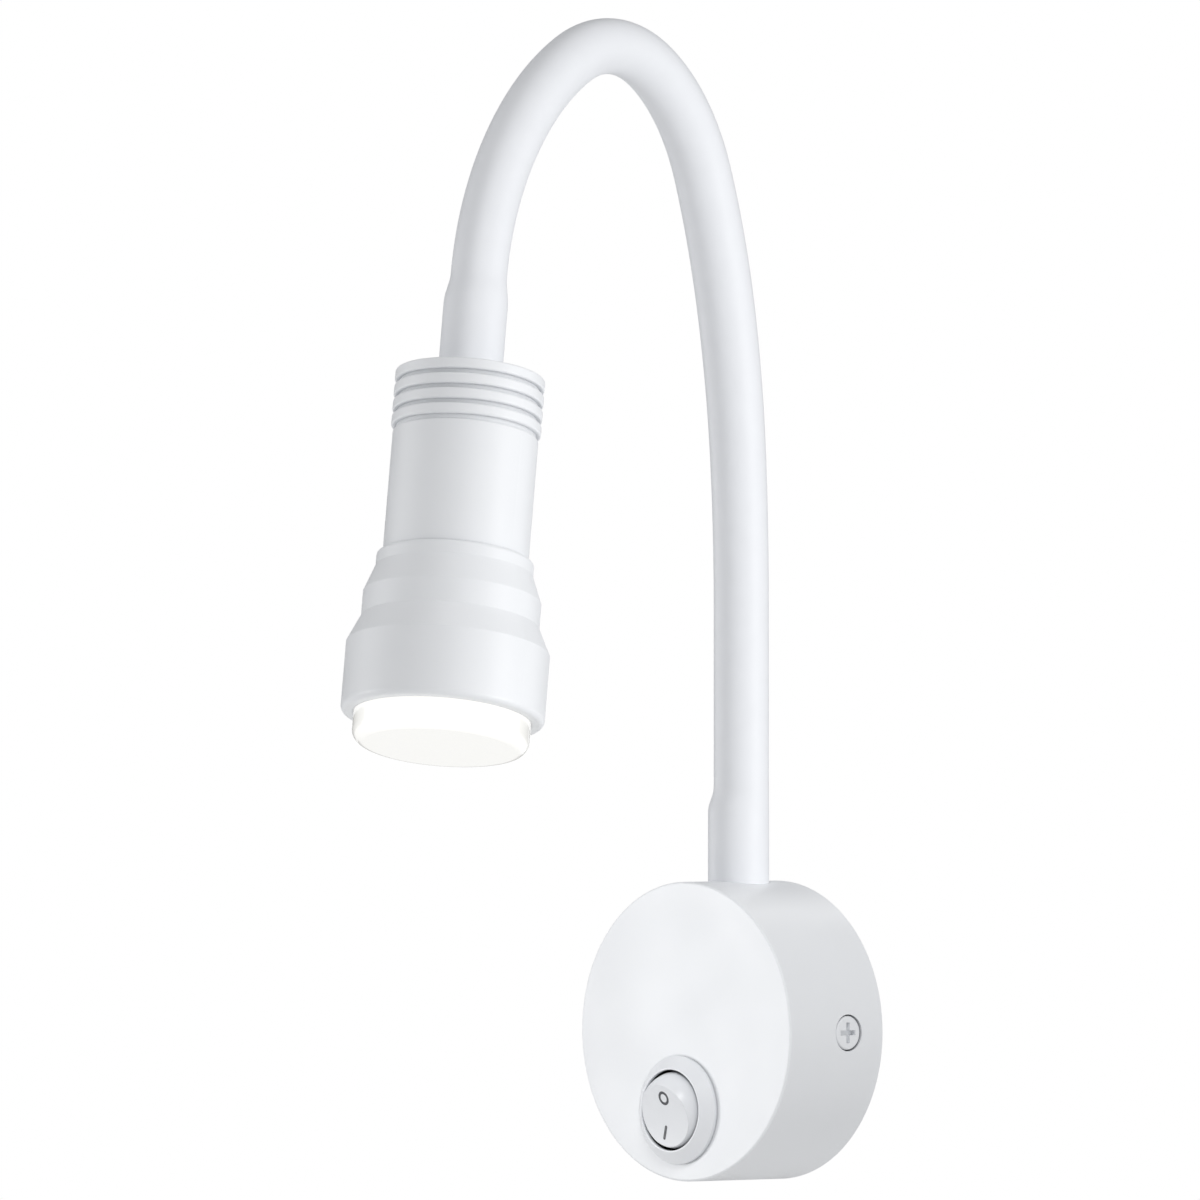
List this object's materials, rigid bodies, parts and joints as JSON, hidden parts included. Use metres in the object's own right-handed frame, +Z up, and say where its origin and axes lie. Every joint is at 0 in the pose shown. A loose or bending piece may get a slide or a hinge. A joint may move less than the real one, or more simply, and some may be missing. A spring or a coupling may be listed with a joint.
{
  "type": "wall light",
  "caption": "White wall light with a round base, a rocker switch, a bendable neck that arches over and a stepped spot head with a glowing frosted lens.",
  "frame": {"origin": "centre of the round base on the wall plane", "axes": "+Z up the wall, +Y into the wall, +X to the right for someone facing the wall"},
  "size_m": [0.092, 0.1578, 0.2512],
  "materials": {
    "white_coat": "white powder coat on cast aluminium",
    "white_screw": "white coat on steel",
    "white_switch": "moulded white nylon, satin",
    "white_sleeve": "soft white silicone, satin",
    "frosted_lens": "frosted acrylic, glows when on",
    "zinc_steel": "zinc plated",
    "hose_steel": "wound steel",
    "bare_aluminium": "turned",
    "bush_rubber": "matte",
    "block_plastic": "moulded nylon",
    "brass": "plain",
    "board_green": "solder mask on glass epoxy",
    "board_white": "white solder mask",
    "winding_tape": "yellow tape",
    "can_sleeve": "shrink sleeve",
    "wire_skin": "soft wire insulation",
    "led_face": "phosphor",
    "reflector_white": "bright white",
    "seal_rubber": "silicone ring"
  },
  "bodies": {
    "base": {"casing": "white_coat", "wall_plate": "zinc_steel", "side_screws": "white_screw", "cable_bush": "bush_rubber", "terminal_block": "block_plastic", "terminal_screws": "brass", "earth_screw": "brass", "driver_board": "board_green", "board_spacers": "block_plastic", "transformer": "winding_tape", "capacitors": "can_sleeve", "base_wires": "wire_skin", "switch_housing": "white_switch", "switch_terminals": "brass", "base_nipple": "zinc_steel", "base_nut": "zinc_steel", "base_sleeve": "white_sleeve", "base_hose": "hose_steel"},
    "rocker": {"rocker": "white_switch", "rocker_plunger": "block_plastic", "rocker_spring": "zinc_steel"},
    "contact": {"switch_contact": "brass"},
    "link_1": {"sleeve_1": "white_sleeve", "hose_1": "hose_steel", "leads_1": "wire_skin"},
    "link_2": {"sleeve_2": "white_sleeve", "hose_2": "hose_steel", "leads_2": "wire_skin"},
    "link_3": {"sleeve_3": "white_sleeve", "hose_3": "hose_steel", "leads_3": "wire_skin"},
    "link_4": {"sleeve_4": "white_sleeve", "hose_4": "hose_steel", "leads_4": "wire_skin"},
    "link_5": {"sleeve_5": "white_sleeve", "hose_5": "hose_steel", "leads_5": "wire_skin"},
    "link_6": {"sleeve_6": "white_sleeve", "hose_6": "hose_steel", "leads_6": "wire_skin"},
    "link_7": {"sleeve_7": "white_sleeve", "hose_7": "hose_steel", "leads_7": "wire_skin"},
    "link_8": {"sleeve_8": "white_sleeve", "hose_8": "hose_steel", "leads_8": "wire_skin"},
    "head": {"head_sleeve": "white_sleeve", "head_hose": "hose_steel", "head_nipple": "zinc_steel", "head_nut": "zinc_steel", "head_body": "white_coat", "heat_spreader": "bare_aluminium", "led_board": "board_white", "led_chip": "led_face", "led_screws": "zinc_steel", "reflector": "reflector_white", "head_bezel": "white_coat", "lens": "frosted_lens", "lens_seal": "seal_rubber", "head_wires": "wire_skin"}
  },
  "joints": [
    {"name": "neck_swing", "type": "hinge", "parent": "base", "child": "link_1", "pos_m": [0, -0.011, 0.05238], "axis": [0, 1, 0], "range_deg": [-25, 25]},
    {"name": "neck_lean", "type": "hinge", "parent": "link_1", "child": "link_2", "pos_m": [0, -0.011, 0.08438], "axis": [0.9715, 0.2368, 0], "range_deg": [-4, 18]},
    {"name": "neck_swing_upper", "type": "hinge", "parent": "link_2", "child": "link_3", "pos_m": [0.00016, -0.01165, 0.11637], "axis": [0.0007, 0.9971, 0.0762], "range_deg": [-25, 25]},
    {"name": "neck_lean_upper", "type": "hinge", "parent": "link_3", "child": "link_4", "pos_m": [0.00103, -0.01523, 0.14815], "axis": [0.9715, 0.2368, 0], "range_deg": [-4, 18]},
    {"name": "neck_arch", "type": "hinge", "parent": "link_4", "child": "link_5", "pos_m": [0.00304, -0.02348, 0.17898], "axis": [0.9715, 0.2368, 0], "range_deg": [-25, 4]},
    {"name": "neck_arch_top", "type": "hinge", "parent": "link_5", "child": "link_6", "pos_m": [0.00725, -0.04072, 0.20535], "axis": [0.9715, 0.2368, 0], "range_deg": [-35, 5.6]},
    {"name": "neck_arch_front", "type": "hinge", "parent": "link_6", "child": "link_7", "pos_m": [0.01453, -0.0706, 0.21269], "axis": [0.9715, 0.2368, 0], "range_deg": [-20, 3.2]},
    {"name": "head_turn", "type": "hinge", "parent": "link_7", "child": "link_8", "pos_m": [0.02099, -0.09709, 0.19613], "axis": [0.0323, -0.7857, 0.6177], "range_deg": [-25, 25]},
    {"name": "head_tilt", "type": "hinge", "parent": "link_8", "child": "head", "pos_m": [0.02556, -0.11348, 0.16913], "axis": [-0.9884, -0.1167, -0.0967], "range_deg": [-25, 25]},
    {"name": "switch_rocker", "type": "hinge", "parent": "base", "child": "rocker", "pos_m": [-0.0018, -0.028, -0.017], "axis": [0.9781, 0, -0.2079], "range_deg": [-30, 0]},
    {"name": "switch_contact_rock", "type": "hinge", "parent": "base", "child": "contact", "pos_m": [-0.0018, -0.0174, -0.017], "axis": [0.9781, 0, -0.2079], "range_deg": [0, 16]}
  ],
  "couplings": [
    {"joint": "neck_swing_upper", "follows": "neck_swing", "ratio": 1},
    {"joint": "neck_lean_upper", "follows": "neck_lean", "ratio": 1},
    {"joint": "neck_arch_top", "follows": "neck_arch", "ratio": 1.4},
    {"joint": "neck_arch_front", "follows": "neck_arch", "ratio": 0.8},
    {"joint": "switch_contact_rock", "follows": "switch_rocker", "ratio": -0.53333}
  ]
}
